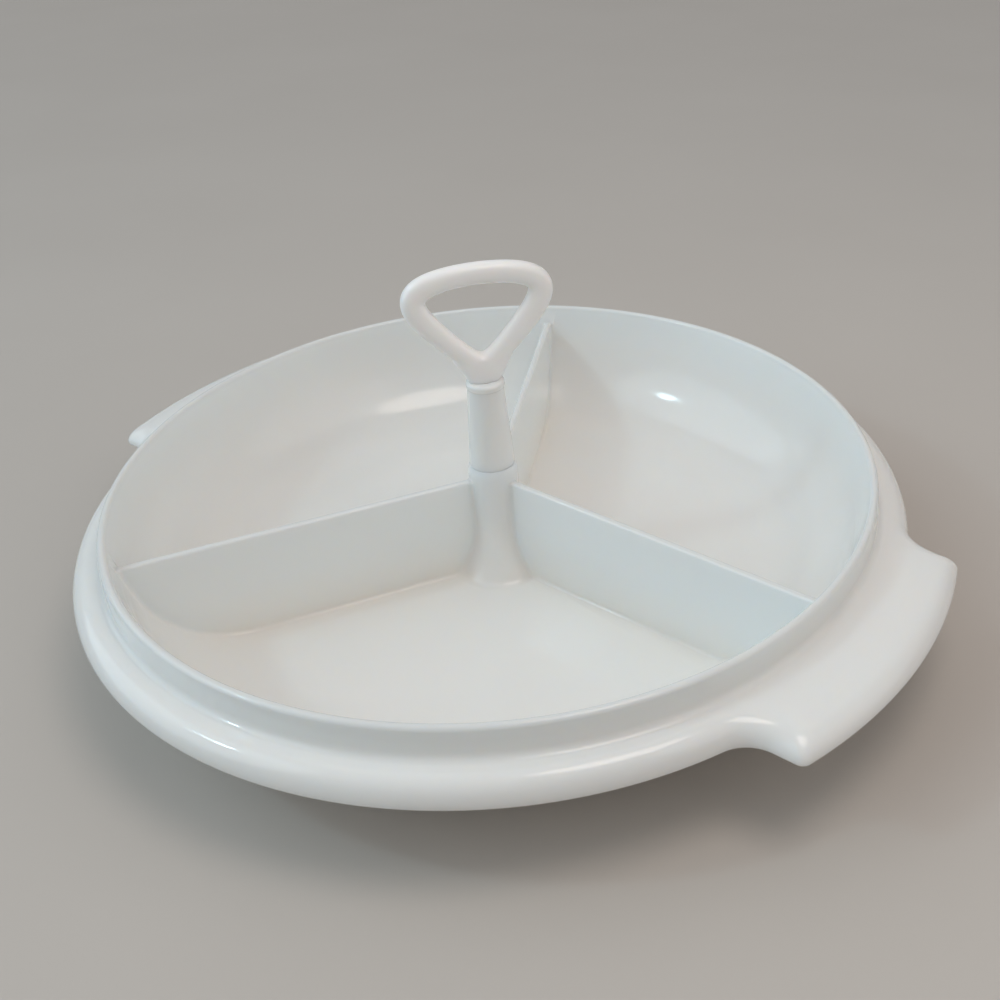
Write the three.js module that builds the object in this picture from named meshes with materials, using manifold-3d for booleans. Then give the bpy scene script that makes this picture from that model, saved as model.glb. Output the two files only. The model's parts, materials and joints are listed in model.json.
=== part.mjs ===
// Divided serving dish with a lift-out carrying handle, in millimetres, +Z up.
// The origin is on the table under the middle of the dish. +X runs through a finger tab and along a divider.
// The dish is one moulding. The handle is a tapered stem that stands in its post, and a loop that turns
// in the stem.
import * as THREE from 'three';
import { LoftGeometry } from 'three/addons/geometries/LoftGeometry.js';
import { mergeVertices } from 'three/addons/utils/BufferGeometryUtils.js';
import Module from 'manifold-3d';

const wasm = await Module();
wasm.setup();

// Bowl
const RIM_RADIUS = 126; // outside of the lip
const LIP_THICK = 2.6;
const BOWL_DEPTH = 42.5; // lip top to inside floor
const WALL_THICK = 2.4;
const FLOOR_THICK = 2.6;
const COVE_RADIUS = 35; // inside, floor to wall
const WALL_LEAN = THREE.MathUtils.degToRad(15); // wall above the cove, outwards
const FOOT_INSET = 8; // start of the cove in to the foot ring
const FOOT_WIDTH = 3.2;
const FOOT_HEIGHT = 2;

// Flange round the rim
const UPSTAND = 9.7; // lip top to flange top
const UPSTAND_DRAFT = 0.5; // how far the upstand's outer face leans out
const FLANGE_FILLET = 2.2; // upstand to flange
const FLANGE_WIDTH = 10.3; // lip to skirt edge
const ROLL_WIDTH = 5.6; // flange top to skirt edge, across the rolled edge
const SKIRT_DROP = 7.6; // flange top to lower edge
const SKIRT_THICK = 2.2;

// Finger tabs, one at each end of the X axis
const TAB_LENGTH = 15.1; // beyond the skirt
const TAB_WIDTH = 99;
const TAB_SWEEP = 11; // radius where the tab's side leaves the skirt
const TAB_CORNER = 3.2;
const TAB_FALL = 1.4; // how much lower a tab's top is at its outer edge
const CORNER_LEAST = 1; // smallest corner on a line inside the edge

// Dividers and post
const DIVIDERS = 3;
const DIVIDER_THICK = 2.6;
const DIVIDER_DROP = 6.9; // lip top to divider top
const POST_RISE = 5.3; // divider top to the post's mouth
const POST_PROUD = 0.75; // how far the post stands out beyond the stem's foot
const POST_ROUND = 2; // height over which its top edge rounds in to the stem
const POST_FLARE = 7.5; // how much further it stands out at the floor
const POST_FLARE_HEIGHT = 22;
const POST_FLARE_BEND = 8.5; // height at which the flare bends most

// Handle stem
const STEM_RADIUS = 7.6; // where it stands on the post
const STEM_TOP_RADIUS = 5.95;
const STEM_LENGTH = 28.4; // post mouth to bead
const BEAD_HEIGHT = 2.5;
const BEAD_PROUD = 0.35;
const STEM_LEDGE = 2; // how far the stem's foot stands out beyond its plug
const PLUG_LENGTH = 20; // below the mouth

// Handle loop
const LOOP_WIDTH = 48;
const LOOP_TOP = 40; // stem mouth to top of the loop
const LOOP_CROTCH = 9.5; // stem mouth to the bottom of the finger gap
const LOOP_TURN = THREE.MathUtils.degToRad(52); // resting turn from +X
const LOOP_PINCH = 0.25; // draws the sides in to a rounded triangle
const LOOP_CROWN = 0.08; // lifts the corners
const BAR_WIDTH = 7; // halfway up an arm
const BAR_SWELL = 0.07; // share by which it is wider at the top, and narrower at the bottom
const BAR_CORNER = 0.09; // share by which it is wider at the corners, and narrower between them
const BAR_DEPTH = 6.4;
const NECK_HEIGHT = 8.2;
const NECK_SET_IN = 0.9; // how far the neck's foot stands in from the stem's side
const NECK_SPREAD = 4.9; // how much further each side of the neck stands out at its top
const LOOP_PLUG_RADIUS = 2.8;
const LOOP_PLUG_LENGTH = 14;

const FIT = 0.3; // clearance all round between pieces that fit together
const SINK = 1.2; // how deep a rib or post runs into the wall that it grows from
const CHORD = 0.2; // largest distance between a round surface and its facets

// Facets of the forms that are too small for that distance to set them
const LIP_FACETS = 4;
const FILLET_FACETS = 3;
const ROLL_FACETS = 3;
const POST_RIM_FACETS = 2;
const FLARE_FACETS = 6;
const BEAD_FACETS = 4;
const LOOP_FACETS = 48; // round the loop
const BAR_FACETS = 12; // round its bar

// Heights and radii that follow
const zFloorUnder = FOOT_HEIGHT;
const zFloor = zFloorUnder + FLOOR_THICK;
const zRim = zFloor + BOWL_DEPTH;
const zFlange = zRim - UPSTAND;
const zSkirt = zFlange - SKIRT_DROP;
const zDivider = zRim - DIVIDER_DROP;
const zMouth = zDivider + POST_RISE;
const zStemTop = zMouth + STEM_LENGTH + BEAD_HEIGHT;
const lipRadius = LIP_THICK / 2;
const rLipInside = RIM_RADIUS - LIP_THICK;
const rSkirt = RIM_RADIUS + FLANGE_WIDTH;
const rTab = rSkirt + TAB_LENGTH;
const wallStart = COVE_RADIUS * (1 - Math.sin(WALL_LEAN));
const wallRun = (BOWL_DEPTH - lipRadius - wallStart) * Math.tan(WALL_LEAN);
const rCove = rLipInside - wallRun - COVE_RADIUS * Math.cos(WALL_LEAN);
const rFoot = rCove - FOOT_INSET;
const rPost = STEM_RADIUS + POST_PROUD;
const rPlug = STEM_RADIUS - STEM_LEDGE;
const rStemBore = LOOP_PLUG_RADIUS + FIT;

// Number of facets on an arc so that none lies further than CHORD from it. It is even, so that the middle of
// the arc is a corner.
function facets(radius, angle) {
  return 2 * Math.max(1, Math.ceil(Math.abs(angle) / (4 * Math.acos(1 - CHORD / radius))));
}

// Closed mesh to solid, and back
function toSolid(geometry) {
  const bare = new THREE.BufferGeometry();
  bare.setAttribute('position', geometry.attributes.position);
  bare.setIndex(geometry.index);
  const merged = mergeVertices(bare);
  const corner = merged.index.array;
  const triVerts = [];
  for (let i = 0; i < corner.length; i += 3) {
    const [a, b, c] = corner.slice(i, i + 3);
    if (a !== b && b !== c && c !== a) triVerts.push(a, b, c);
  }
  return new wasm.Manifold(new wasm.Mesh({
    numProp: 3,
    vertProperties: new Float32Array(merged.attributes.position.array),
    triVerts: new Uint32Array(triVerts),
  }));
}

function toMesh(name, solid, material) {
  const { vertProperties, triVerts } = solid.getMesh();
  const geometry = new THREE.BufferGeometry();
  geometry.setAttribute('position', new THREE.BufferAttribute(new Float32Array(vertProperties), 3));
  geometry.setIndex(new THREE.BufferAttribute(new Uint32Array(triVerts), 1));
  geometry.computeVertexNormals();
  const mesh = new THREE.Mesh(geometry, material);
  mesh.name = name;
  return mesh;
}

// Solid of revolution about Z from an outline of [radius, height] that starts and ends on the axis
function turned(outline) {
  const points = outline.map(([radius, height]) => new THREE.Vector2(radius, height));
  const widest = Math.max(...points.map((point) => point.x));
  const lathe = new THREE.LatheGeometry(points, 2 * facets(widest, Math.PI));
  return toSolid(lathe.rotateX(Math.PI / 2));
}

// Points of an arc in [radius, height], from one angle to another
function arc(centreRadius, centreHeight, radius, from, to, steps = facets(radius, to - from)) {
  return Array.from({ length: steps + 1 }, (_, i) => {
    const angle = from + (to - from) * i / steps;
    return [centreRadius + radius * Math.cos(angle), centreHeight + radius * Math.sin(angle)];
  });
}

// Points of an arc in plan, without its last
function planArc(centreX, centreY, radius, from, to, steps) {
  return Array.from({ length: steps }, (_, i) => {
    const angle = from + (to - from) * i / steps;
    return new THREE.Vector3(centreX + radius * Math.cos(angle), centreY + radius * Math.sin(angle), 0);
  });
}

// Outer edge of the flange in plan, or a line some way inside it: the round skirt, drawn out to a tab at each
// end of the X axis. Every line has the same number of points, so two lines pair up.
function flangeLine(inset) {
  const half = TAB_WIDTH / 2 - inset;
  const skirt = rSkirt - inset;
  const reach = rTab - inset;
  const sweep = TAB_SWEEP + inset;
  const corner = Math.max(TAB_CORNER - inset, CORNER_LEAST);
  const sweepX = Math.sqrt((skirt + sweep) ** 2 - (half + sweep) ** 2);
  const sweepAngle = Math.atan2(half + sweep, sweepX);
  const cornerX = Math.sqrt((reach - corner) ** 2 - (half - corner) ** 2);
  const cornerAngle = Math.atan2(half - corner, cornerX);
  const quarter = Math.PI / 2;
  const sweepSteps = facets(TAB_SWEEP, quarter);
  const cornerSteps = facets(TAB_CORNER, quarter);
  const tabSteps = facets(rTab, TAB_WIDTH / rTab);
  const skirtSteps = facets(rSkirt, Math.PI - TAB_WIDTH / rSkirt);
  // From the foot of the tab at -Y, round the tab and along the skirt to the other end
  const end = [
    ...planArc(sweepX, -half - sweep, sweep, Math.PI - sweepAngle, quarter, sweepSteps),
    ...planArc(cornerX, -half + corner, corner, -quarter, -cornerAngle, cornerSteps),
    ...planArc(0, 0, reach, -cornerAngle, cornerAngle, tabSteps),
    ...planArc(cornerX, half - corner, corner, cornerAngle, quarter, cornerSteps),
    ...planArc(sweepX, half + sweep, sweep, -quarter, sweepAngle - Math.PI, sweepSteps),
    ...planArc(0, 0, skirt, sweepAngle, Math.PI - sweepAngle, skirtSteps),
  ];
  return [...end, ...end.map((point) => point.clone().negate())];
}

// Bowl, rim, flange, tabs and foot. The rings are named from the inside floor, over the rim and down to the
// underside, and lofted in the opposite order, so that the faces point out of the solid. The first and last
// shrink to the axis.
function dishShell() {
  const edge = flangeLine(0);
  const edgeInside = flangeLine(SKIRT_THICK);
  const rollStart = flangeLine(ROLL_WIDTH);
  const bearings = edge.map(({ x, y }) => Math.atan2(y, x));
  const round = ([radius, height]) => bearings.map((bearing) => (
    new THREE.Vector3(radius * Math.cos(bearing), radius * Math.sin(bearing), height)));
  // The flange's top falls a little towards the outer edge of a tab, as the square of the way out
  const fall = rollStart.map((point) => TAB_FALL * (point.length() - rSkirt + ROLL_WIDTH) / TAB_LENGTH);
  const sloped = (inner, height, wayOut) => rollStart.map((point, i) => (
    inner[i].clone().lerp(point, wayOut).setZ(height - wayOut ** 2 * fall[i])));
  // Rings of a quarter ellipse, from a line on the flange down to a line on the lower edge
  const rolled = (top, bottom) => Array.from({ length: ROLL_FACETS }, (_, step) => {
    const angle = (step + 1) * Math.PI / (2 * ROLL_FACETS);
    return top.map((point, i) => new THREE.Vector3(
      THREE.MathUtils.lerp(point.x, bottom[i].x, Math.sin(angle)),
      THREE.MathUtils.lerp(point.y, bottom[i].y, Math.sin(angle)),
      THREE.MathUtils.lerp(zSkirt, point.z, Math.cos(angle)),
    ));
  });

  const rUpstand = RIM_RADIUS + UPSTAND_DRAFT;
  const rFillet = rUpstand + FLANGE_FILLET;
  const zFlangeUnder = zFlange - SKIRT_THICK;
  const zCove = zFloor + COVE_RADIUS;
  const outerCove = COVE_RADIUS + WALL_THICK;
  const rWallUnder = rLipInside - (zRim - lipRadius - zFlangeUnder) * Math.tan(WALL_LEAN)
    + WALL_THICK / Math.cos(WALL_LEAN);
  const coveSteps = facets(COVE_RADIUS, Math.PI / 2 - WALL_LEAN);

  const inside = [
    [0, zFloor],
    ...arc(rCove, zCove, COVE_RADIUS, -Math.PI / 2, -WALL_LEAN, coveSteps),
    ...arc(rLipInside + lipRadius, zRim - lipRadius, lipRadius, Math.PI, 0, LIP_FACETS),
    ...arc(rFillet, zFlange + FLANGE_FILLET, FLANGE_FILLET, Math.PI, 1.5 * Math.PI, FILLET_FACETS),
  ].map(round);
  const flangeStart = inside[inside.length - 1];
  const flangeEnd = sloped(flangeStart, zFlange, 1);
  const underEnd = sloped(flangeStart, zFlangeUnder, 1);
  const flange = [
    sloped(flangeStart, zFlange, 1 / 2),
    flangeEnd,
    ...rolled(flangeEnd, edge),
    ...rolled(underEnd, edgeInside).reverse(),
    underEnd,
    round([rWallUnder, zFlangeUnder]),
  ];
  const underside = [
    ...arc(rCove, zCove, outerCove, -WALL_LEAN, -Math.PI / 2, coveSteps)
      .map(([radius, height]) => [radius, Math.max(height, zFloorUnder)]),
    [rFoot + FOOT_WIDTH / 2, zFloorUnder],
    [rFoot + FOOT_WIDTH / 2, 0],
    [rFoot - FOOT_WIDTH / 2, 0],
    [rFoot - FOOT_WIDTH / 2, zFloorUnder],
    [0, zFloorUnder],
  ].map(round);
  const rings = [...inside, ...flange, ...underside];
  return toSolid(new LoftGeometry(rings.reverse()));
}

// Rib from the post to the wall, along +X, whose lower edge lies inside the floor and wall
function divider() {
  const outline = [
    [0, zDivider],
    [0, zFloor - SINK],
    ...arc(rCove, zFloor + COVE_RADIUS, COVE_RADIUS + SINK, -Math.PI / 2, -WALL_LEAN),
    [rLipInside - (zRim - lipRadius - zDivider) * Math.tan(WALL_LEAN) + SINK, zDivider],
  ];
  const shape = new THREE.Shape(outline.map(([x, y]) => new THREE.Vector2(x, y)));
  const plate = new THREE.ExtrudeGeometry(shape, { depth: DIVIDER_THICK, bevelEnabled: false });
  return plate.translate(0, 0, -DIVIDER_THICK / 2).rotateX(Math.PI / 2);
}

function post() {
  const flare = new THREE.QuadraticBezierCurve(
    new THREE.Vector2(rPost + POST_FLARE, zFloor),
    new THREE.Vector2(rPost, zFloor + POST_FLARE_BEND),
    new THREE.Vector2(rPost, zFloor + POST_FLARE_HEIGHT),
  );
  const rim = arc(0, 0, 1, 0, Math.PI / 2, POST_RIM_FACETS).map(([out, up]) => (
    [STEM_RADIUS + POST_PROUD * out, zMouth - POST_ROUND * (1 - up)]));
  return turned([
    [0, zFloor - SINK],
    [rPost + POST_FLARE, zFloor - SINK],
    ...flare.getPoints(FLARE_FACETS).map(({ x, y }) => [x, y]),
    ...rim,
    [0, zMouth],
  ]);
}

// Hole in the post that the stem's plug goes into
function socket() {
  const zBottom = zMouth - PLUG_LENGTH - FIT;
  return turned([
    [0, zBottom],
    [rPlug + FIT, zBottom],
    [rPlug + FIT, zMouth + FIT],
    [0, zMouth + FIT],
  ]);
}

function dish() {
  let solid = dishShell().add(post());
  for (let i = 0; i < DIVIDERS; i += 1) {
    solid = solid.add(toSolid(divider().rotateZ(2 * Math.PI * i / DIVIDERS)));
  }
  return solid.subtract(socket());
}

// Tapered rod with a plug below, bored at the top for the loop's plug. Height 0 is the mouth of the post.
function stem() {
  const top = STEM_LENGTH + BEAD_HEIGHT;
  const beadMiddle = STEM_LENGTH + BEAD_HEIGHT / 2;
  const bead = arc(0, 0, 1, -Math.PI / 2, Math.PI / 2, BEAD_FACETS).map(([out, up]) => (
    [STEM_TOP_RADIUS + BEAD_PROUD * out, beadMiddle + up * BEAD_HEIGHT / 2]));
  const rod = turned([
    [0, -PLUG_LENGTH],
    [rPlug, -PLUG_LENGTH],
    [rPlug, FIT],
    [STEM_RADIUS, FIT],
    ...bead,
    [0, top],
  ]);
  const boreEnd = top - LOOP_PLUG_LENGTH - FIT;
  const bore = turned([
    [0, boreEnd],
    [rStemBore, boreEnd],
    [rStemBore, top + FIT],
    [0, top + FIT],
  ]);
  return rod.subtract(bore);
}

// Points of an oval round a centre, on two half axes
function oval(centre, first, second) {
  return Array.from({ length: BAR_FACETS }, (_, i) => {
    const angle = 2 * Math.PI * i / BAR_FACETS;
    return centre.clone().addScaledVector(first, Math.cos(angle)).addScaledVector(second, Math.sin(angle));
  });
}

// Bar of the loop: an oval section carried round a rounded triangle in the XZ plane. Height 0 is the stem's
// mouth. At a turn t from the bottom, across is sin t - pinch sin 2t, and up is -cos t - crown cos 2t.
function loopBar() {
  const across = (t) => Math.sin(t) - LOOP_PINCH * Math.sin(2 * t);
  const up = (t) => -Math.cos(t) - LOOP_CROWN * Math.cos(2 * t);
  const thick = (t) => BAR_WIDTH * (1 - BAR_SWELL * Math.cos(t) - BAR_CORNER * Math.cos(2 * t));
  const turns = Array.from({ length: LOOP_FACETS + 1 }, (_, i) => (
    2 * Math.PI * (i % LOOP_FACETS) / LOOP_FACETS));
  const width = (LOOP_WIDTH - thick(Math.PI / 2)) / (2 * Math.max(...turns.map(across)));
  const lowest = LOOP_CROTCH - thick(0) / 2;
  const height = (LOOP_TOP - thick(Math.PI) / 2 - lowest) / (up(Math.PI) - up(0));
  const sideways = new THREE.Vector3(0, BAR_DEPTH / 2, 0);
  const sections = turns.map((t) => {
    const centre = new THREE.Vector3(width * across(t), 0, lowest + height * (up(t) - up(0)));
    const alongX = width * (Math.cos(t) - 2 * LOOP_PINCH * Math.cos(2 * t));
    const alongZ = height * (Math.sin(t) + 2 * LOOP_CROWN * Math.sin(2 * t));
    return oval(centre, new THREE.Vector3(alongZ, 0, -alongX).setLength(thick(t) / 2), sideways);
  });
  return toSolid(new LoftGeometry(sections));
}

// Neck of the loop: an oval that spreads from the stem's mouth up to the two arms
function loopNeck() {
  const ring = (halfWidth, halfDepth, height) => oval(
    new THREE.Vector3(0, 0, height),
    new THREE.Vector3(halfWidth, 0, 0),
    new THREE.Vector3(0, halfDepth, 0),
  );
  const foot = STEM_TOP_RADIUS - NECK_SET_IN;
  return toSolid(new LoftGeometry([
    ring(0, 0, FIT),
    ring(foot, BAR_DEPTH / 2, FIT),
    ring(foot + NECK_SPREAD, BAR_DEPTH / 2, NECK_HEIGHT),
    ring(0, 0, NECK_HEIGHT),
  ]));
}

function loop() {
  const plug = turned([
    [0, -LOOP_PLUG_LENGTH],
    [LOOP_PLUG_RADIUS, -LOOP_PLUG_LENGTH],
    [LOOP_PLUG_RADIUS, FIT + SINK],
    [0, FIT + SINK],
  ]);
  return plug.add(loopNeck()).add(loopBar());
}

const milkyPlastic = (color) => new THREE.MeshStandardMaterial({ color, roughness: 0.35, metalness: 0 });

const servingDish = new THREE.Group();
servingDish.add(toMesh('dish', dish(), milkyPlastic(0xe4e5e1)));

const handle = new THREE.Group();
handle.position.z = zMouth;
handle.add(toMesh('handle_stem', stem(), milkyPlastic(0xdcdedb)));
servingDish.add(handle);

const grip = new THREE.Group();
grip.position.z = zStemTop - zMouth;
grip.rotation.z = LOOP_TURN;
grip.add(toMesh('handle_loop', loop(), milkyPlastic(0xe6e4e0)));
handle.add(grip);

export default servingDish;
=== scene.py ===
# %% [markdown]
# # A divided serving dish with a lift-out handle
# The object is a shallow party dish of milky white plastic. Three dividers meet at a hollow post in the
# middle, a tapered stem stands in the post, and a finger loop stands in the stem.
# The lesson builds each moulding as a surface worked out with numpy, because every form on it is either
# turned, or a profile carried along a line, and both are short formulas. Modelling by hand with extrusions
# would need many edge loops to keep the long reflections smooth.

# %% Load the frame
import json

import bmesh
import bpy
import numpy as np
from mathutils import Matrix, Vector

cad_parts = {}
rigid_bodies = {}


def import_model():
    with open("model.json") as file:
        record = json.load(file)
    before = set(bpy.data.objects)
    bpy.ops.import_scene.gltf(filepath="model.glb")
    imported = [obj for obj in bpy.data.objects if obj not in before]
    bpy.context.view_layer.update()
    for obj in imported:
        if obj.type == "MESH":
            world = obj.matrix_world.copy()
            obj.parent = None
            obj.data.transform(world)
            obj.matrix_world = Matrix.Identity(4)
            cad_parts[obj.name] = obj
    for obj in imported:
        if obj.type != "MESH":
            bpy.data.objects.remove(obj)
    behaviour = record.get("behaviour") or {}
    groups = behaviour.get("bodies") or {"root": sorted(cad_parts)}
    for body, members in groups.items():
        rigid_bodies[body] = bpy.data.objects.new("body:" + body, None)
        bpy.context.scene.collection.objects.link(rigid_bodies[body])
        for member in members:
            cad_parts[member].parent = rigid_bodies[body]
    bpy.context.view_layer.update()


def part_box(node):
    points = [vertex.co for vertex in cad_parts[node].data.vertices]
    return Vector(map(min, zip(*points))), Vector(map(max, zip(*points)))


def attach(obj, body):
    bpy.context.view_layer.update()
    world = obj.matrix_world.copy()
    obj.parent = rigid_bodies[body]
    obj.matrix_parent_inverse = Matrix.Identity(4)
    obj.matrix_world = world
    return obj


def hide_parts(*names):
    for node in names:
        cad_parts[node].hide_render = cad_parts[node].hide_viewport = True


for leftover in list(bpy.data.objects):
    bpy.data.objects.remove(leftover)
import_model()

# %% [markdown]
# ## Sizes
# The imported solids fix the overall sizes, so these are read from the frame's boxes. What the boxes can't
# tell, such as the roundness of an edge, is a named length. All is in millimetres until a mesh is made.

# %% Read the sizes that the frame fixes
MM = 0.001


def box_in_mm(node):
    """Lowest and highest corner of a solid, in millimetres."""
    return np.array([list(corner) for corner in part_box(node)]) / MM


TAB_REACH, SKIRT_RADIUS, RIM_TOP = box_in_mm("dish")[1]
STEM_FOOT, STEM_RADIUS = box_in_mm("handle_stem")[0][2], box_in_mm("handle_stem")[1][0]
STEM_TOP = box_in_mm("handle_stem")[1][2]
LOOP_FOOT, LOOP_TOP = box_in_mm("handle_loop")[:, 2]
print(f"rim at {RIM_TOP:.1f} mm, stem to {STEM_TOP:.1f} mm, loop to {LOOP_TOP:.1f} mm")

# %% [markdown]
# ## From grids of points to meshes
# A surface is a grid of points: rows one way, columns the other. Each cell of the grid becomes a four-sided
# face. Grids that share an edge are welded there, and a row that shrinks to the axis becomes one point. This
# could be left to a Screw or Skin modifier, but with the points in hand a formula says exactly where the
# surface runs. Where two closed meshes have to become one skin, a Boolean modifier joins them.

# %% Helpers for grids
WELD = 0.002  # points closer than this are one point


def bridge(first, second):
    """Strip of faces between two lines with the same number of points."""
    return np.stack([first, second])


def mirrored(points):
    """The same points on the other side of the XZ plane."""
    return points * [1, -1, 1]


def turned_about_z(points, angle):
    """Points turned about the upright axis: x' = x cos a - y sin a, y' = x sin a + y cos a."""
    cos, sin = np.cos(angle), np.sin(angle)
    return points @ np.array([[cos, sin, 0], [-sin, cos, 0], [0, 0, 1]])


def make_piece(name, patches):
    """One closed, smooth-shaded mesh object from grids of points in millimetres."""
    points, faces, count = [], [], 0
    for patch in patches:
        rows, columns = patch.shape[:2]
        index = count + np.arange(rows * columns).reshape(rows, columns)
        cells = [index[:-1, :-1], index[:-1, 1:], index[1:, 1:], index[1:, :-1]]
        faces.append(np.stack(cells, axis=-1).reshape(-1, 4))
        points.append(patch.reshape(-1, 3))
        count += rows * columns
    mesh = bpy.data.meshes.new(name)
    mesh.from_pydata((np.concatenate(points) * MM).tolist(), [], np.concatenate(faces).tolist())
    piece = bpy.data.objects.new(name, mesh)
    bpy.context.scene.collection.objects.link(piece)
    tidy_mesh(mesh)
    return piece


def tidy_mesh(mesh, weld=True):
    """Weld doubles, close the poles, point the faces outwards and shade smoothly."""
    work = bmesh.new()
    work.from_mesh(mesh)
    if weld:
        bmesh.ops.remove_doubles(work, verts=work.verts, dist=WELD * MM)
        bmesh.ops.dissolve_degenerate(work, edges=work.edges, dist=WELD * MM / 2)
    bmesh.ops.recalc_face_normals(work, faces=work.faces)
    open_edges = sum(not edge.is_manifold for edge in work.edges)
    work.to_mesh(mesh)
    work.free()
    mesh.shade_smooth()
    print(f"{mesh.name}: {len(mesh.vertices)} points, {len(mesh.polygons)} faces, {open_edges} open edges")


def with_modifiers_applied(piece):
    """Replace the piece's mesh by what its modifiers make of it."""
    made = bpy.data.meshes.new_from_object(piece.evaluated_get(bpy.context.evaluated_depsgraph_get()))
    made.materials.clear()
    piece.modifiers.clear()
    piece.data = made
    tidy_mesh(made, weld=False)


def joined(piece, operation, tool):
    """Change a piece by a boolean with a tool that isn't needed afterwards."""
    step = piece.modifiers.new("join", "BOOLEAN")
    step.operation, step.solver, step.object = operation, "MANIFOLD", tool
    with_modifiers_applied(piece)
    bpy.data.objects.remove(tool)


# %% [markdown]
# ## Profiles
# A moulding has no sharp corners, since plastic doesn't fill them and a mould can't be cut that way. So a
# profile is written as a chain of straight lines, and every corner gets a radius. A Bevel modifier could
# round the edges of a finished mesh, but rounding the profile first keeps the faces in clean rows.

# %% Rounded chain of lines
ARC_STEPS = 8
STRAIGHT_SHARES = np.array([0, 0.08, 0.92, 1])  # rows on a straight, close to its ends so that it shades flat


def rounded(corners, radii, arc_steps=ARC_STEPS):
    """A chain of lines with its inner corners rounded.

    With a turn of angle a at a corner, an arc of radius r starts r tan(a / 2) before it. Along the arc the
    heading goes evenly from the one line's to the other's, and the point lies r to the outside of the centre.
    """
    corners = np.array(corners, float)
    radii = np.array(radii, float)[:, None]
    leg = np.diff(corners, axis=0)
    heading = np.arctan2(leg[:, 1], leg[:, 0])
    along = np.stack([np.cos(heading), np.sin(heading)], axis=-1)
    turn = (np.diff(heading) + np.pi) % (2 * np.pi) - np.pi
    setback = radii * np.tan(np.abs(turn) / 2)[:, None]
    starts = corners[1:-1] - setback * along[:-1]
    ends = corners[1:-1] + setback * along[1:]
    side = np.sign(turn)[:, None]
    centres = starts + radii * side * np.stack([-along[:-1, 1], along[:-1, 0]], axis=-1)
    shares = np.linspace(0, 1, arc_steps + 1)[1:-1]
    arc_heading = heading[:-1, None] + turn[:, None] * shares
    outwards = np.stack([np.sin(arc_heading), -np.cos(arc_heading)], axis=-1) * side[:, None]
    arcs = centres[:, None] + radii[:, None] * outwards
    first = np.concatenate([corners[:1], ends])[:, None]
    last = np.concatenate([starts, corners[-1:]])[:, None]
    straights = first + (last - first) * STRAIGHT_SHARES[:, None]
    chain = np.concatenate([straights[:-1], arcs], axis=1).reshape(-1, 2)
    return np.concatenate([chain, straights[-1]])


def lathe(profile, bearings):
    """Profile of (radius, height) turned about Z: x = r cos b, y = r sin b, z = h for every bearing b."""
    radius, height = profile[:, :1], profile[:, 1:]
    return np.stack([radius * np.cos(bearings), radius * np.sin(bearings), height + 0 * bearings], axis=-1)


# %% [markdown]
# ## The dish
# The dish is one injection moulding: a coved bowl, a thin upstanding lip, and outside it a flange that rolls
# down to a free edge and is drawn out to a finger tab at each end. The hollow post in the middle belongs to
# the same turned surface. A lathe alone can't make the tabs, so the flange's rows run between two lines in
# plan, one at the start of the roll and one at its lower edge, that have matching points.

# %% Flange lines in plan
TAB_HALF_WIDTH = 49.5
TAB_SWEEP = 11  # concave radius where a tab's side leaves the skirt
TAB_CORNER = 3.2
TAB_FALL = 1.4  # how much lower a tab's top is at its outer edge
ROLL_WIDTH = 5.6
ROLL_CORNER = 4.5  # corner of a tab where the roll starts
SKIRT_THICK = 2.2
SKIRT_DROP = 7.6  # flange top to free edge
SWEEP_STEPS, CORNER_STEPS, TAB_STEPS, SKIRT_STEPS = 14, 10, 40, 84


def plan_arc(centre, radius, start, end, steps, closed=False):
    """Points of an arc in plan, with its last point only where a straight follows."""
    angle = np.linspace(start, end, steps + 1)[:None if closed else -1]
    return np.array(centre) + radius * np.stack([np.cos(angle), np.sin(angle)], axis=-1)


def flange_line(inset, corner):
    """The flange's outline drawn in by a distance: tab and skirt of one end, then both turned half round."""
    half, skirt, reach = TAB_HALF_WIDTH - inset, SKIRT_RADIUS - inset, TAB_REACH - inset
    sweep = TAB_SWEEP + inset
    sweep_x = np.sqrt((skirt + sweep) ** 2 - (half + sweep) ** 2)
    sweep_turn = np.arctan2(half + sweep, sweep_x)
    corner_x = np.sqrt((reach - corner) ** 2 - (half - corner) ** 2)
    corner_turn = np.arctan2(half - corner, corner_x)
    quarter = np.pi / 2
    end = np.concatenate([
        plan_arc((sweep_x, -half - sweep), sweep, np.pi - sweep_turn, quarter, SWEEP_STEPS, closed=True),
        plan_arc((corner_x, corner - half), corner, -quarter, -corner_turn, CORNER_STEPS),
        plan_arc((0, 0), reach, -corner_turn, corner_turn, TAB_STEPS),
        plan_arc((corner_x, half - corner), corner, corner_turn, quarter, CORNER_STEPS, closed=True),
        plan_arc((sweep_x, half + sweep), sweep, -quarter, sweep_turn - np.pi, SWEEP_STEPS),
        plan_arc((0, 0), skirt, sweep_turn, np.pi - sweep_turn, SKIRT_STEPS),
    ])
    return np.concatenate([end, -end])


FLANGE_EDGE = flange_line(0, TAB_CORNER)
ROLL_START = flange_line(ROLL_WIDTH, ROLL_CORNER)
BEARINGS = np.arctan2(ROLL_START[:, 1], ROLL_START[:, 0])
print(f"flange line: {len(FLANGE_EDGE)} points")

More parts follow.
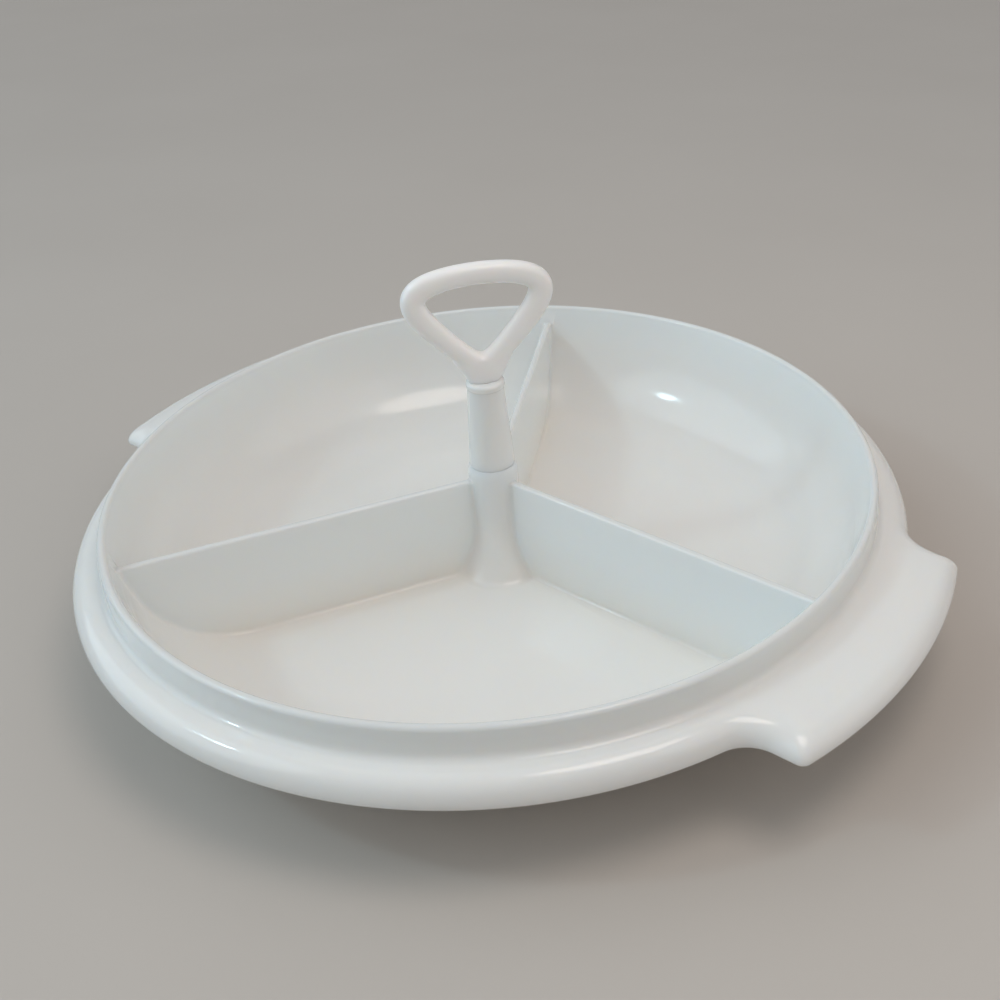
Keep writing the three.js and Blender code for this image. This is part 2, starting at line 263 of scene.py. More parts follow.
# %% Turned profile of the inside
FLOOR, FLOOR_UNDER = 4.6, 2.0
COVE_RADIUS = 35
WALL_LEAN = np.tan(np.radians(15))
WALL_THICK = 2.4
LIP_RADIUS = 1.28
RIM_RADIUS = 126
UPSTAND = 9.7  # lip top to flange top
UPSTAND_DRAFT = 0.5
FLANGE_FILLET = 2.2
DIVIDER_TOP = RIM_TOP - 6.9
POST_TOP = DIVIDER_TOP + 5.3
POST_RADIUS = STEM_RADIUS + 0.75
POST_SHOULDER = 2.2  # height of the slope from the stem's foot out to the post
SOCKET_RADIUS = STEM_RADIUS - 1.7
FIT = 0.3  # clearance between pieces that fit together
SEAM = 0.04  # what is left of it where a seam shows
FLARE_WIDTH, FLARE_HEIGHT, FLARE_BEND = 7.5, 22, 8.5
FLARE_END, FLARE_FILLET = 0.9, 1.9  # share of the flare above its fillet to the floor, and the fillet's width
FLANGE_TOP = RIM_TOP - UPSTAND
WALL_AT_RIM = RIM_RADIUS - 2.3  # inner wall's line where it meets the height of the rim


def wall_radius(height):
    """Inner face of the leaning wall."""
    return WALL_AT_RIM - (RIM_TOP - height) * WALL_LEAN


def bent(start, bend, end, share):
    """Curve from `start`, headed for `bend`, to `end`: (1 - s)^2, 2 s (1 - s) and s^2 of each, added up."""
    return (1 - share) ** 2 * start + 2 * share * (1 - share) * bend + share ** 2 * end


def flare_profile():
    """Foot of the post: a bent curve that nears the floor at a slant, then a bent fillet on its tangent."""
    top, bend = np.array([(POST_RADIUS, FLOOR + FLARE_HEIGHT), (POST_RADIUS, FLOOR + FLARE_BEND)])
    foot = np.array([POST_RADIUS + FLARE_WIDTH, FLOOR])
    flare = bent(top, bend, foot, np.linspace(0, FLARE_END, 15)[1:, None])
    low = flare[-1]
    tangent = bend + (foot - bend) * FLARE_END - low
    knee = low + tangent * (low[1] - FLOOR) / -tangent[1]
    return np.concatenate([flare, bent(low, knee, knee + [FLARE_FILLET, 0], np.linspace(0, 1, 9)[1:, None])])


def inside_profile():
    """Socket, post, flared foot, floor, cove, wall and lip."""
    post = rounded(
        [(0, STEM_FOOT - FIT), (SOCKET_RADIUS, STEM_FOOT - FIT), (SOCKET_RADIUS, POST_TOP),
         (STEM_RADIUS + SEAM, POST_TOP), (POST_RADIUS, POST_TOP - POST_SHOULDER),
         (POST_RADIUS, FLOOR + FLARE_HEIGHT)],
        [0.4, 0.3, 0.5, 7])
    flare = flare_profile()
    bowl = rounded(
        [flare[-1], (wall_radius(FLOOR), FLOOR), (WALL_AT_RIM, RIM_TOP),
         (RIM_RADIUS, RIM_TOP), (RIM_RADIUS + UPSTAND_DRAFT, FLANGE_TOP),
         (RIM_RADIUS + UPSTAND_DRAFT + 1.2 * FLANGE_FILLET, FLANGE_TOP)],
        [COVE_RADIUS, LIP_RADIUS, LIP_RADIUS, FLANGE_FILLET], arc_steps=14)
    return np.concatenate([post, flare, bowl[1:]])


INSIDE = inside_profile()
print(f"inside profile: {len(INSIDE)} rows")

# %% Rows of the flange
TURN = np.linspace(0, np.pi / 2, 13)[:, None]
SHARE = np.linspace(0, 1, 7)[:, None]


def rows(line, heights):
    """Grid of points from plan lines of one or more rows and their heights."""
    heights = np.broadcast_to(heights, line.shape[:-1])
    return np.concatenate([line, heights[..., None]], axis=-1)


def around_difference(values):
    """Difference between the next and the last value on a closed line."""
    return np.roll(values, -1, axis=0) - np.roll(values, 1, axis=0)


def flange_rows():
    """Flange top, rolled edge, free edge and the flange's hollow underside.

    Top: from the upstand's fillet to the start of the roll, falling by fall s^2 at share s of the way.
    Roll: from there out by w sin t and down by m w sin t + d (1 - cos t), which leaves the top at its own
    slope m and ends upright. The top's slope is known along the columns and along the roll's start, and two
    such slopes give the slope in any direction. Free edge: half a circle as thick as the skirt.
    """
    inner_edge = flange_line(SKIRT_THICK, TAB_CORNER - SKIRT_THICK)
    inner = INSIDE[-1, 0] * np.stack([np.cos(BEARINGS), np.sin(BEARINGS)], axis=-1)
    length = np.linalg.norm(ROLL_START, axis=-1)
    fall = TAB_FALL * (length - SKIRT_RADIUS + ROLL_WIDTH) / (TAB_REACH - SKIRT_RADIUS)
    edge_height = FLANGE_TOP - SKIRT_DROP + SKIRT_THICK / 2

    top = rows(inner + (ROLL_START - inner) * SHARE[..., None], FLANGE_TOP - fall * SHARE ** 2)
    ways = np.stack([ROLL_START - inner, around_difference(ROLL_START)], axis=1)
    falls = np.stack([2 * fall, around_difference(fall)], axis=1)
    slope = np.linalg.solve(ways, falls[..., None])[..., 0]
    drop = (slope * (FLANGE_EDGE - ROLL_START)).sum(axis=-1)
    rest = FLANGE_TOP - fall - drop - edge_height
    roll = rows(
        ROLL_START + (FLANGE_EDGE - ROLL_START) * np.sin(TURN)[..., None],
        FLANGE_TOP - fall - drop * np.sin(TURN) - rest * (1 - np.cos(TURN)))
    around = np.linspace(0, np.pi, 9)[1:, None]
    free_edge = rows(
        FLANGE_EDGE + (inner_edge - FLANGE_EDGE) * (1 - np.cos(around))[..., None] / 2,
        edge_height - np.sin(around) * SKIRT_THICK / 2)
    under = FLANGE_TOP - SKIRT_THICK - fall
    hollow = rows(
        ROLL_START + (inner_edge - ROLL_START) * np.sin(TURN)[::-1][..., None],
        under - (under - edge_height) * (1 - np.cos(TURN))[::-1])
    return np.concatenate([top[1:], roll[1:], free_edge, hollow[1:]])


# %% Underside and the whole shell
FOOT_RADIUS, FOOT_WIDTH, FOOT_EDGE = 77.5, 3.2, 0.8
UNDER_FILLET = 1.6


def underside_profile():
    """From the hollow of the flange down the wall and cove to the foot ring and the middle."""
    def outer(height):
        return wall_radius(height) + WALL_THICK * np.hypot(1, WALL_LEAN)
    flange_under = FLANGE_TOP - SKIRT_THICK
    return rounded(
        [(SKIRT_RADIUS - ROLL_WIDTH - UNDER_FILLET, flange_under), (outer(flange_under), flange_under),
         (outer(FLOOR_UNDER), FLOOR_UNDER), (FOOT_RADIUS + FOOT_WIDTH / 2, FLOOR_UNDER),
         (FOOT_RADIUS + FOOT_WIDTH / 2, 0), (FOOT_RADIUS - FOOT_WIDTH / 2, 0),
         (FOOT_RADIUS - FOOT_WIDTH / 2, FLOOR_UNDER), (0, FLOOR_UNDER)],
        [UNDER_FILLET, COVE_RADIUS + WALL_THICK] + [FOOT_EDGE] * 4)


def dish_shell():
    """All rows from the socket over the rim to the underside, closed round the back."""
    grid = np.concatenate([
        lathe(INSIDE, BEARINGS),
        flange_rows(),
        lathe(underside_profile(), BEARINGS),
    ])
    return np.concatenate([grid, grid[:, :1]], axis=1)


dish = make_piece("dish_moulding", [dish_shell()])

# %% [markdown]
# ## The dividers
# Three thin ribs run from the post to the wall. Small fillets lead from each rib into the floor, the cove,
# the wall and the post. A plain plate pushed through the bowl would meet it in a hard line. So the rib
# follows the bowl's own profile: its side leaves the surface in a quarter circle, and above that it is flat.

# %% One divider
RIB_HALF_THICK = 1.22  # at the top
RIB_DRAFT = 0.3  # how much thicker each side is at the floor
RIB_FILLET = 1.4
RIB_EDGE = 0.75  # rounding along the top
RIB_SINK = 0.8  # how deep the rib's hidden foot runs in the wall
FOOT_OVERLAP = 0.04  # the fillet dips this far, so that it cuts the surface cleanly
WALL_BLEND = 9  # height over which the fillet turns level towards the top
RIB_COLUMNS = 110


def evenly_spaced(line, count):
    """The same line with points at even lengths along it."""
    step = np.linalg.norm(np.diff(line, axis=0), axis=1)
    length = np.concatenate([[0], np.cumsum(step)])
    even = np.linspace(0, length[-1], count)
    return np.stack([np.interp(even, length, column) for column in line.T], axis=-1)


def divider():
    """Closed grids of one rib along +X.

    Fillet: at angle a the point is r (1 - cos a) off the surface and r (1 - sin a) out from the flat side.
    A point at radius q and distance y from the middle plane has x = sqrt(q^2 - y^2), so it lies on the wall.
    """
    ledge = DIVIDER_TOP - RIB_EDGE
    below = (INSIDE[:, 1] < ledge) & (INSIDE[:, 0] > POST_RADIUS - WELD) & (INSIDE[:, 0] < wall_radius(ledge))
    pocket = np.concatenate([[(POST_RADIUS, ledge)], INSIDE[below], [(wall_radius(ledge), ledge)]])
    pocket = evenly_spaced(pocket, RIB_COLUMNS)
    along = np.gradient(pocket, axis=0)
    normal = np.stack([-along[:, 1], along[:, 0]], axis=-1)
    level = np.clip((pocket[:, 1] - ledge) / WALL_BLEND + 1, 0, 1) * (pocket[:, 0] > COVE_RADIUS)
    normal[:, 1] *= 1 - level ** 2
    normal /= np.linalg.norm(normal, axis=1, keepdims=True)

    angle = np.linspace(0, np.pi / 2, 10)
    off = np.concatenate([[-RIB_SINK], RIB_FILLET * (1 - np.cos(angle)) - FOOT_OVERLAP])[:, None]
    out = RIB_FILLET * np.concatenate([[1], 1 - np.sin(angle)])[:, None]
    radius = pocket[:, 0] + off * normal[:, 0]
    height = pocket[:, 1] + off * normal[:, 1]
    stride = np.abs(np.diff(radius[-1])) + 0.1 * np.abs(np.diff(height[-1]))
    spread = np.concatenate([[0], np.cumsum(stride)]) / stride.sum()
    top_radius = radius[-1, 0] + (radius[-1, -1] - radius[-1, 0]) * spread
    up = np.array([0.06, 0.5, 0.94, 1])[:, None]
    radius = np.concatenate([radius, radius[-1] + (top_radius - radius[-1]) * up])
    height = np.concatenate([height, height[-1] + (ledge - height[-1]) * up])
    out = np.concatenate([out, 0 * up])
    y = RIB_HALF_THICK + RIB_DRAFT * (ledge - height) / (ledge - FLOOR) + out
    side = np.stack([np.sqrt(radius ** 2 - y ** 2), y, height], axis=-1)

    fillet_rows = len(angle) + 1
    rim = np.concatenate([side[:fillet_rows, 0], side[-1, 1:-1], side[:fillet_rows, -1][::-1]])
    heading = np.gradient(rim[:, :2], axis=0)
    inwards = np.stack([heading[:, 1], -heading[:, 0]], axis=-1)
    inwards /= np.linalg.norm(inwards, axis=1, keepdims=True)
    bend = np.linspace(0, np.pi / 2, 7)[:, None]
    edge = rows(
        rim[:, :2] + inwards * RIB_EDGE * (1 - np.cos(bend))[..., None],
        ledge + RIB_EDGE * np.sin(bend))
    return [
        side, mirrored(side), edge, mirrored(edge),
        bridge(edge[-1], mirrored(edge[-1])), bridge(side[0], mirrored(side[0])),
        bridge(edge[:, 0], mirrored(edge[:, 0])), bridge(edge[:, -1], mirrored(edge[:, -1])),
    ]


# %% Grow the dividers into the dish
RIBS = 3
for rib in range(RIBS):
    turned = [turned_about_z(patch, 2 * np.pi * rib / RIBS) for patch in divider()]
    joined(dish, "UNION", make_piece(f"divider_{rib + 1}", turned))

# %% [markdown]
# ## Corners, thin parts and edges
# Milky plastic looks different where it is thin, at an edge and in a tight corner, because of how light
# passes through it, and the material paints these looks into the colour as painted cool light, painted shade
# on the edges and painted cream shade in the corners. A material can't tell where these are, so three numbers
# at every point of the mesh say it: how far into a corner under a divider the point lies, how thin the
# plastic is there, and how near it is to a free edge. Painting them by hand would also do, but a formula
# follows the shape when a size changes.

# %% Mark the corners, the thin parts and the edges
NOOK_WIDTH, NOOK_HEIGHT, NOOK_CREAM = 9, 5, 0.6
SHEER_LIP, SHEER_SHARE = 9, 0.8  # height of the thin lip, and how strongly painted cool light tints the thin parts
EDGE_REACH = 1.3  # from the very top of a rib or the lip

place, facing = np.zeros((2, len(dish.data.vertices), 3))
dish.data.vertices.foreach_get("co", place.reshape(-1))
dish.data.vertices.foreach_get("normal", facing.reshape(-1))
x, y, z = place.T / MM
rib_angle = 2 * np.pi * np.arange(RIBS)[:, None] / RIBS
along = x * np.cos(rib_angle) + y * np.sin(rib_angle)
off = np.where(along > 0, x * np.sin(rib_angle) - y * np.cos(rib_angle), np.hypot(x, y))
depth = np.where(z > (FLOOR + FLOOR_UNDER) / 2, z - FLOOR, np.inf)
# Painted cream shade: strongest low in the corners under the dividers.
nook = NOOK_CREAM * np.exp(-np.abs(off).min(axis=0) / NOOK_WIDTH - (depth / NOOK_HEIGHT) ** 2)
across = facing[:, 0] * np.sin(rib_angle) - facing[:, 1] * np.cos(rib_angle)
in_rib = np.exp(-(off / RIB_HALF_THICK / 2) ** 4)
rib_side = (across ** 2 * in_rib).max(axis=0)
# Painted cool light on the thin parts: the sides of the ribs and the band below the lip.
sheer = SHEER_SHARE * np.maximum(rib_side, np.clip(1 - (RIM_TOP - z) / SHEER_LIP, 0, 1))
# Painted shade on the up-facing tops of the ribs and on the top of the lip.
near_top = np.exp(-((z - DIVIDER_TOP) / EDGE_REACH) ** 4) * (np.hypot(x, y) < WALL_AT_RIM)
rib_top_painted_shade = near_top * in_rib.max(axis=0) * np.clip(facing[:, 2], 0, 1)
edge = np.maximum(rib_top_painted_shade, np.clip(1 - (RIM_TOP - z) / EDGE_REACH, 0, 1))
for name, values in ("nook", nook), ("sheer", sheer), ("edge", edge):
    dish.data.attributes.new(name, "FLOAT", "POINT").data.foreach_set("value", values)
print(f"corners: {np.mean(nook > NOOK_CREAM / 2):.0%} of the dish's points lie in them")

# %% [markdown]
# ## The handle's stem
# A slim tube stands on the post and tapers up to a small bead, and its plug goes into the post. It is round
# all over, so one rounded profile and a lathe make all of it, with the bore for the loop's plug.

# %% Stem
STEM_TOP_RADIUS = 5.95
BEAD_HEIGHT, BEAD_PROUD = 2.5, 0.35
PLUG_RADIUS = SOCKET_RADIUS - FIT
LOOP_PLUG_RADIUS = 2.8
BORE_RADIUS = LOOP_PLUG_RADIUS + FIT
ROUND = np.linspace(0, 2 * np.pi, 97)


def stem_profile():
    """Plug, foot, tapered side, bead and bore."""
    foot = POST_TOP + SEAM
    bead = STEM_TOP - BEAD_HEIGHT
    bead_radius = STEM_TOP_RADIUS + BEAD_PROUD
    return rounded(
        [(0, STEM_FOOT), (PLUG_RADIUS, STEM_FOOT), (PLUG_RADIUS, foot), (STEM_RADIUS, foot),
         (STEM_TOP_RADIUS, bead), (bead_radius, bead + BEAD_PROUD), (bead_radius, STEM_TOP),
         (BORE_RADIUS, STEM_TOP), (BORE_RADIUS, LOOP_FOOT - FIT), (0, LOOP_FOOT - FIT)],
        [0.6, 0.2, 0.12, 0.5, 0.4, 1, 0.3, 0.3])


stem = make_piece("stem_moulding", [lathe(stem_profile(), ROUND)])

# %% [markdown]
# ## The finger loop
# The loop is a bar of oval section bent to a rounded triangle, and its two arms run together into a flat neck
# that narrows down to the stem. Bar and neck are sections carried along a line, and a fine voxel remesh with
# a little smoothing melts them into one skin with soft crotches. The plug is turned and joined on. Skin and
# metaballs were the other choices, but they don't hold the bar's width.

# %% Loop
LOOP_WIDTH, BAR_WIDTH, BAR_DEPTH = 48, 7, 6.4
BAR_SWELL = 0.07  # share by which the bar is wider at the top, and narrower at the bottom
BAR_CORNER = 0.09  # share by which it is wider at the corners, and narrower between them
BAR_SQUARE = 2.5  # 2 is an ellipse, more is squarer
LOOP_CROTCH = 9.5  # stem's mouth to the bottom of the finger gap
LOOP_PINCH, LOOP_CROWN = 0.25, 0.08
LOOP_TURN = np.radians(52)
NECK_HEIGHT, NECK_SPREAD, NECK_SET_IN = 8.2, 4.9, 0.9
NECK_SPARE = 2  # what the smoothing may round off below the stem's mouth
VOXEL, SOFTEN = 0.35, 10


def oval(half_width, half_depth):
    """Squarish ellipse: cos a and sin a, each to the power 2 / n with its sign kept, times the half axes."""
    angle = np.linspace(0, 2 * np.pi, 49)[:, None]
    cos, sin = [np.sign(wave) * np.abs(wave) ** (2 / BAR_SQUARE) for wave in (np.cos(angle), np.sin(angle))]
    return half_width * cos, half_depth * sin


def loop_bar():
    """Oval section round a rounded triangle: across = sin t - pinch sin 2t, up = -cos t - crown cos 2t."""
    t = np.linspace(0, 2 * np.pi, 181)
    across = np.sin(t) - LOOP_PINCH * np.sin(2 * t)
    up = -np.cos(t) - LOOP_CROWN * np.cos(2 * t)
    thick = BAR_WIDTH * (1 - BAR_SWELL * np.cos(t) - BAR_CORNER * np.cos(2 * t))
    bottom, corner, top = thick[[0, len(t) // 4, len(t) // 2]]
    lowest = STEM_TOP + LOOP_CROTCH - bottom / 2
    width = (LOOP_WIDTH - corner) / 2 / across.max()
    height = (LOOP_TOP - top / 2 - lowest) / np.ptp(up)
    along_x = width * (np.cos(t) - 2 * LOOP_PINCH * np.cos(2 * t))
    along_z = height * (np.sin(t) + 2 * LOOP_CROWN * np.sin(2 * t))
    length = np.hypot(along_x, along_z)
    out, depth = oval(thick / 2, BAR_DEPTH / 2)
    return np.stack([
        width * across + out * along_z / length,
        depth + 0 * t,
        lowest + height * (up - up[0]) - out * along_x / length], axis=-1)


def loop_neck():
    """Oval neck that spreads evenly upwards, closed at both ends. It starts below the stem's mouth."""
    height = np.array([-NECK_SPARE, -NECK_SPARE, NECK_HEIGHT, NECK_HEIGHT])
    half_width = STEM_TOP_RADIUS - NECK_SET_IN + NECK_SPREAD * height / NECK_HEIGHT
    open_ring = np.array([0, 1, 1, 0])
    width, depth = oval(half_width * open_ring, BAR_DEPTH / 2 * open_ring)
    return np.stack([width, depth, STEM_TOP + height + 0 * width], axis=-1)


loop = make_piece("loop_moulding", [turned_about_z(patch, LOOP_TURN) for patch in (loop_bar(), loop_neck())])
melt = loop.modifiers.new("melt", "REMESH")
melt.mode, melt.voxel_size = "VOXEL", VOXEL * MM
soften = loop.modifiers.new("soften", "SMOOTH")
soften.factor, soften.iterations = 0.5, SOFTEN
with_modifiers_applied(loop)

# %% Square off the neck and add the plug
seat = STEM_TOP + SEAM
below = np.array([(0, STEM_TOP - 2 * NECK_SPARE), (2 * LOOP_WIDTH, STEM_TOP - 2 * NECK_SPARE),
                  (2 * LOOP_WIDTH, seat), (0, seat)])
joined(loop, "DIFFERENCE", make_piece("below_the_mouth", [lathe(below, ROUND)]))
plug = rounded(
    [(0, LOOP_FOOT), (LOOP_PLUG_RADIUS, LOOP_FOOT), (LOOP_PLUG_RADIUS, seat + 2), (0, seat + 2)], [0.6, 0.4])
joined(loop, "UNION", make_piece("loop_plug", [lathe(plug, ROUND)]))

# %% [markdown]
# ## Shader arithmetic
# Node trees are easier to read as sums. A wire stands for one output socket, and arithmetic on wires adds
# Math nodes. Any other node comes from `node`, which sets the node's own settings first, then its sockets.

# %% Wires


class Wire:
    """One output socket of a material's node tree, or just the tree when there is no socket yet."""

    def __init__(self, tree, socket=None):
        self.tree, self.socket = tree, socket

    def node(self, kind, settings=None, sockets=None, output=0):
        """Add a node and return its output."""
        made = self.tree.nodes.new(kind)
        for name, value in (settings or {}).items():
            setattr(made, name, value)
        for name, value in (sockets or {}).items():
            if isinstance(value, Wire):
                self.tree.links.new(value.socket, made.inputs[name])
            else:
                made.inputs[name].default_value = value
        return Wire(self.tree, made.outputs[output] if made.outputs else None)

    def math(self, operation, *values):
        """Math node with this wire as its first value."""
        return self.node("ShaderNodeMath", {"operation": operation}, dict(enumerate((self, *values))))

    def __add__(self, other):
        return self.math("ADD", other)

    def __sub__(self, other):
        return self.math("SUBTRACT", other)

    def __rsub__(self, other):
        return self * -1 + other

    def __mul__(self, other):
        return self.math("MULTIPLY", other)

    __radd__ = __add__
    __rmul__ = __mul__


def mixed(share, first, second):
    """Colour between two colours."""
    return share.node("ShaderNodeMix", {"data_type": "RGBA"}, {0: share, 6: first, 7: second}, output=2)


def noise(place, scale, detail=2.0, roughness=0.5):
    """Soft random value from 0 to 1, with about `scale` blotches in a metre."""
    return place.node("ShaderNodeTexNoise", None,
                      {"Vector": place, "Scale": scale, "Detail": detail, "Roughness": roughness})


# %% [markdown]
# ## Milky plastic
# The real plastic is a slightly see-through white, and much of its light and shade is painted into the colour
# here. Thin walls get painted cool light, and the tops of the ribs and the lip painted shade, standing in for
# light that leaks through them. High places get painted cool light, low places painted warm shade and the
# corners under the dividers painted cream shade, standing in for light that has passed through the plastic
# more often. A colour that follows the height and the three marks paints all this, and a little subsurface
# scattering softens it. True volume scattering would do it by itself, but slowly, and it can't be baked. The
# mould left a fine satin grain, and wiping left faint rings in the gloss.

# %% Milky plastic material
DISH_WHITES = (0.808, 0.84, 0.842, 1), (0.83, 0.81, 0.775, 1)  # cool and warm white: the dish runs from painted cool light high up to painted warm shade low down
# Painted cream shade for the corners under the dividers.
PAINTED_CREAM_SHADE = (0.85, 0.795, 0.72, 1)
# Painted cool light for the thin parts.
PAINTED_COOL_LIGHT = (0.78, 0.822, 0.83, 1)
PAINTED_EDGE_SHADE = (0.71, 0.73, 0.725, 1)  # painted shade on the tops of the ribs and the lip, where light leaks out through the thin edge
# Whiter plastic for the loop, raised further as painted light so that the loop reads as more brightly lit.
LOOP_WHITES_PAINTED_BRIGHT = (0.955, 0.945, 0.93, 1), (0.96, 0.945, 0.92, 1)
CLOUDS, WORN_SPOTS, GRAINS, WAVES = 14, 55, 1500, 38  # in a metre
RINGS, RING_ARCS = 550, (3, 3, 3)  # wiping marks in a metre, and along one radian
GRAIN_RELIEF, WAVE_RELIEF, RING_RELIEF = 0.004, 0.12, 0.03  # in millimetres, before the bump's strength
CLOUD_TINT, WEAR_GLOSS, RING_GLOSS = 0.3, 0.1, 0.35  # how much each changes the tint or the roughness


def rings(place, height):
    """Vector that changes fast outwards and upwards and slowly round the axis, for marks of wiping."""
    flat = place.node("ShaderNodeVectorMath", {"operation": "MULTIPLY"}, {0: place, 1: (1, 1, 0)})
    bearing = place.node("ShaderNodeVectorMath", {"operation": "NORMALIZE"}, {0: flat})
    radius = place.node("ShaderNodeVectorMath", {"operation": "LENGTH"}, {0: flat}, output="Value")
    run = place.node("ShaderNodeCombineXYZ", None, {"Z": (radius + height) * RINGS})
    return place.node("ShaderNodeVectorMath", {"operation": "MULTIPLY_ADD"},
                      {0: bearing, 1: RING_ARCS, 2: run})


def milky_plastic(name, whites, warmth, painted_cooling, gloss, wiping):
    """Satin white with painted warm shade below, painted cool light above, painted marks, wear and grain."""
    material = bpy.data.materials.new(name)
    material.use_nodes = True
    material.node_tree.nodes.clear()
    start = Wire(material.node_tree)
    place = start.node("ShaderNodeTexCoord", output="Object")
    cloud = noise(place, CLOUDS, 3)
    wear = noise(place, WORN_SPOTS, 4, 0.6)
    grain = noise(place, GRAINS, 2)
    wave = noise(place, WAVES, 1)
    nook, sheer, edge = [start.node("ShaderNodeAttribute", {"attribute_name": mark}, output="Fac")
                         for mark in ("nook", "sheer", "edge")]
    height = start.node("ShaderNodeSeparateXYZ", None, {"Vector": place}, output="Z")
    wiped = (noise(rings(place, height), 1, 3) - 0.5) * (1 - sheer) * wiping
    # Painted light and shade: the mix runs from the warm white low down to the cool white high up.
    depth = warmth - height * painted_cooling + (cloud - 0.5) * CLOUD_TINT
    # Painted light and shade on the marked parts: cool light on thin parts, cream shade in corners, shade on
    # edges.
    colour = mixed(edge, mixed(nook, mixed(sheer, mixed(depth, *whites), PAINTED_COOL_LIGHT), PAINTED_CREAM_SHADE), PAINTED_EDGE_SHADE)
    relief = grain * GRAIN_RELIEF + wave * WAVE_RELIEF + wiped * RING_RELIEF
    bump = start.node("ShaderNodeBump", None, {"Strength": 0.25, "Distance": 0.001, "Height": relief})
    surface = start.node("ShaderNodeBsdfPrincipled", None, {
        "Base Color": colour,
        "Roughness": gloss + (wear - 0.5) * WEAR_GLOSS + wiped * RING_GLOSS,
        "Normal": bump,
        "IOR": 1.5,
        "Subsurface Weight": 0.5,
        "Subsurface Radius": (1.0, 0.85, 0.7),
        "Subsurface Scale": 0.004,
    })
    start.node("ShaderNodeOutputMaterial", None, {"Surface": surface})
    return material


# Piece, node, then the plastic's name, whites, warmth, painted cooling by the metre of height, gloss and
# share of wiping marks.
FINISHES = [
    (dish, "dish", "dish_plastic", DISH_WHITES, 0.85, 9, 0.12, 1),
    (stem, "handle_stem", "stem_plastic", DISH_WHITES, 0.55, 0, 0.12, 0),
    (loop, "handle_loop", "loop_plastic", LOOP_WHITES_PAINTED_BRIGHT, 0.5, 0, 0.3, 0),
]
for piece, node, *plastic in FINISHES:
    piece.data.materials.append(milky_plastic(*plastic))
    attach(piece, node)
    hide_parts(node)
    print(f"{piece.name} stands for {node}")

# %% [markdown]
# ## Floor, lamps and camera
# A plain warm-grey floor keeps the white dish readable. A warm softbox hangs above, and a small cool lamp at
# the left gives the bright glints on the roll and the wall. A wide cool window on the same side, two wide
# warm fills and a sky that is brighter overhead keep the shadows soft. All are plain area lamps and a plain
# world, because an image of a room would show in the gloss.

# %% Floor
FLOOR_SIZE = 30000
FLOOR_COLOUR = (0.51, 0.47, 0.43, 1)
FLOOR_FLECK = (0.55, 0.51, 0.47, 1)

span = np.linspace(-FLOOR_SIZE / 2, FLOOR_SIZE / 2, 3)
floor = make_piece("floor", [np.stack([*np.meshgrid(span, span), np.zeros((3, 3))], axis=-1)])
floor_paint = bpy.data.materials.new("floor_paint")
floor_paint.use_nodes = True
floor_paint.node_tree.nodes.clear()
start = Wire(floor_paint.node_tree)
place = start.node("ShaderNodeTexCoord", output="Object")
paint = start.node("ShaderNodeBsdfPrincipled", None, {
    "Base Color": mixed(noise(place, 6, 4), FLOOR_COLOUR, FLOOR_FLECK), "Roughness": 0.7})
start.node("ShaderNodeOutputMaterial", None, {"Surface": paint})
floor.data.materials.append(floor_paint)

# %% Lamps and world
SKY_COLOUR = (0.99, 0.985, 1.0, 1)
SKY_LOW, SKY_TOP = 0.15, 0.49  # strength near the floor and overhead
BACKDROP = 0.36  # the plain pale grey that a camera sees behind the floor
LAMPS = [  # name, azimuth, elevation, distance, size, power, colour
    ("ceiling_softbox", -8, 69, 690, 300, 0.9, (1.0, 0.89, 0.81)),
    ("left_lamp", -129, 43, 1100, 100, 1.0, (0.60, 0.86, 1.0)),
    ("left_window", -140, 30, 4500, 5500, 92, (0.73, 0.905, 1.0)),
    ("back_fill", 130, 50, 4500, 4500, 11.2, (1.0, 0.90, 0.80)),
    ("right_fill", 20, 30, 4500, 4500, 33.5, (1.0, 0.97, 0.94)),
]


def direction(azimuth, elevation):
    """Unit vector at an azimuth from +X and an elevation above the floor, in degrees."""
    a, e = np.radians([azimuth, elevation])
    return np.array([np.cos(a) * np.cos(e), np.sin(a) * np.cos(e), np.sin(e)])


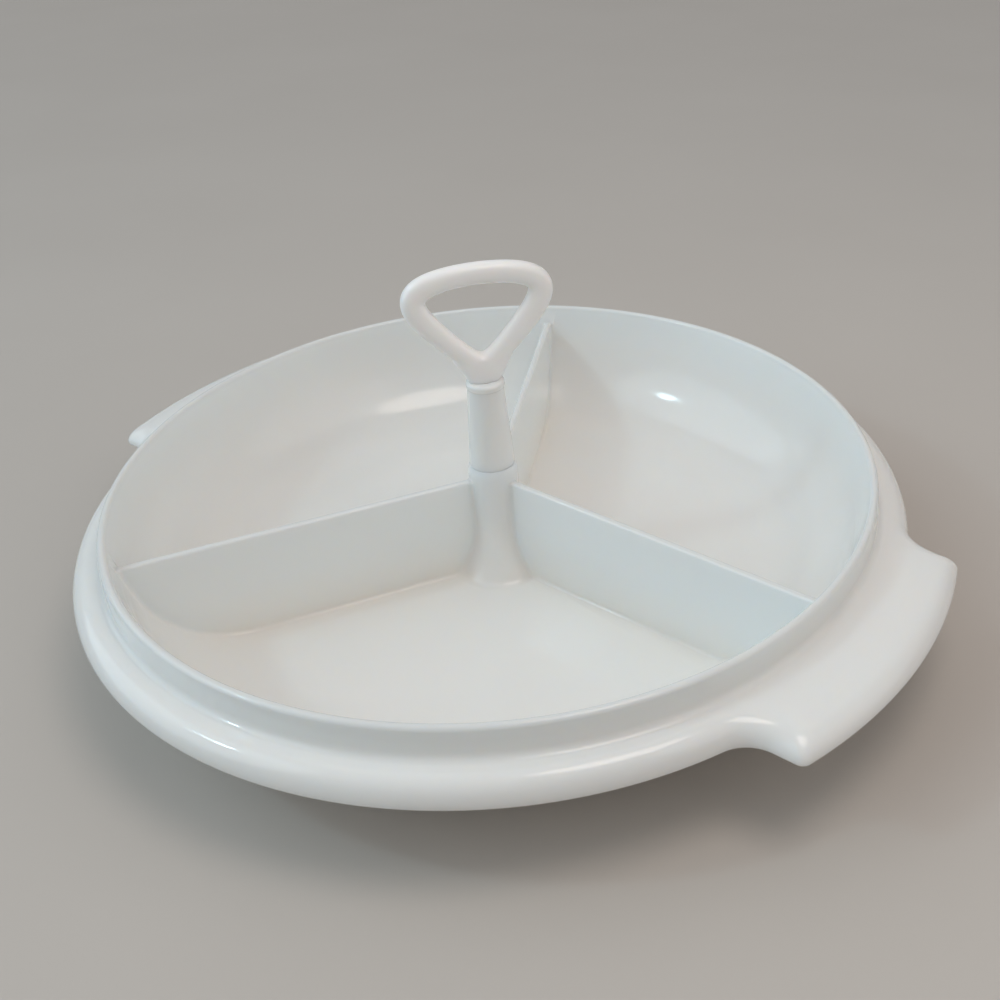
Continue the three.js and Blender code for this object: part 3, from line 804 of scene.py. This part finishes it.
def looking(forward, right, place):
    """Matrix that looks along `forward`, with `right` to the right of the picture."""
    matrix = np.eye(4)
    matrix[:3, 0] = right
    matrix[:3, 1] = np.cross(right, forward)
    matrix[:3, 2] = -forward
    matrix[:3, 3] = place
    return Matrix(matrix.tolist())


for name, azimuth, elevation, distance, size, power, colour in LAMPS:
    lamp = bpy.data.lights.new(name, "AREA")
    lamp.shape, lamp.size, lamp.energy, lamp.color = "DISK", size * MM, power, colour
    holder = bpy.data.objects.new(name, lamp)
    bpy.context.scene.collection.objects.link(holder)
    aim = direction(azimuth, elevation)
    right = np.cross(-aim, [0, 0, 1])
    holder.matrix_world = looking(-aim, right / np.linalg.norm(right), aim * distance * MM)

world = bpy.data.worlds.new("studio")
bpy.context.scene.world = world
world.use_nodes = True
world.node_tree.nodes.clear()
start = Wire(world.node_tree)
way = start.node("ShaderNodeTexCoord", output="Generated")
rise = start.node("ShaderNodeSeparateXYZ", None, {"Vector": way}, output="Z").math("MAXIMUM", 0)
seen = start.node("ShaderNodeLightPath", output="Is Camera Ray")
strength = (SKY_LOW + (SKY_TOP - SKY_LOW) * rise) * (1 - seen) + BACKDROP * seen
sky = start.node("ShaderNodeBackground", None, {"Color": SKY_COLOUR, "Strength": strength})
start.node("ShaderNodeOutputWorld", None, {"Surface": sky})
bpy.context.scene.view_settings.view_transform = "Standard"

# %% Camera
CAMERA_PLACE = np.array([228.6, -239.45, 245.5])
CAMERA_HEADING, CAMERA_DOWN, CAMERA_ROLL = 128.765, 30.073, 2.729
CAMERA_LENS, CAMERA_SENSOR = 41.316, 36
SHIFT_X, SHIFT_Y = -0.0753, -0.0664

forward = direction(CAMERA_HEADING, -CAMERA_DOWN)
level = direction(CAMERA_HEADING - 90, 0)
roll = np.radians(CAMERA_ROLL)
camera = bpy.data.cameras.new("camera")
camera.lens, camera.sensor_width, camera.clip_start = CAMERA_LENS, CAMERA_SENSOR, 0.01
camera.shift_x, camera.shift_y = SHIFT_X, SHIFT_Y
viewer = bpy.data.objects.new("camera", camera)
bpy.context.scene.collection.objects.link(viewer)
right = level * np.cos(roll) + np.cross(forward, level) * np.sin(roll)
viewer.matrix_world = looking(forward, right, CAMERA_PLACE * MM)
bpy.context.scene.camera = viewer
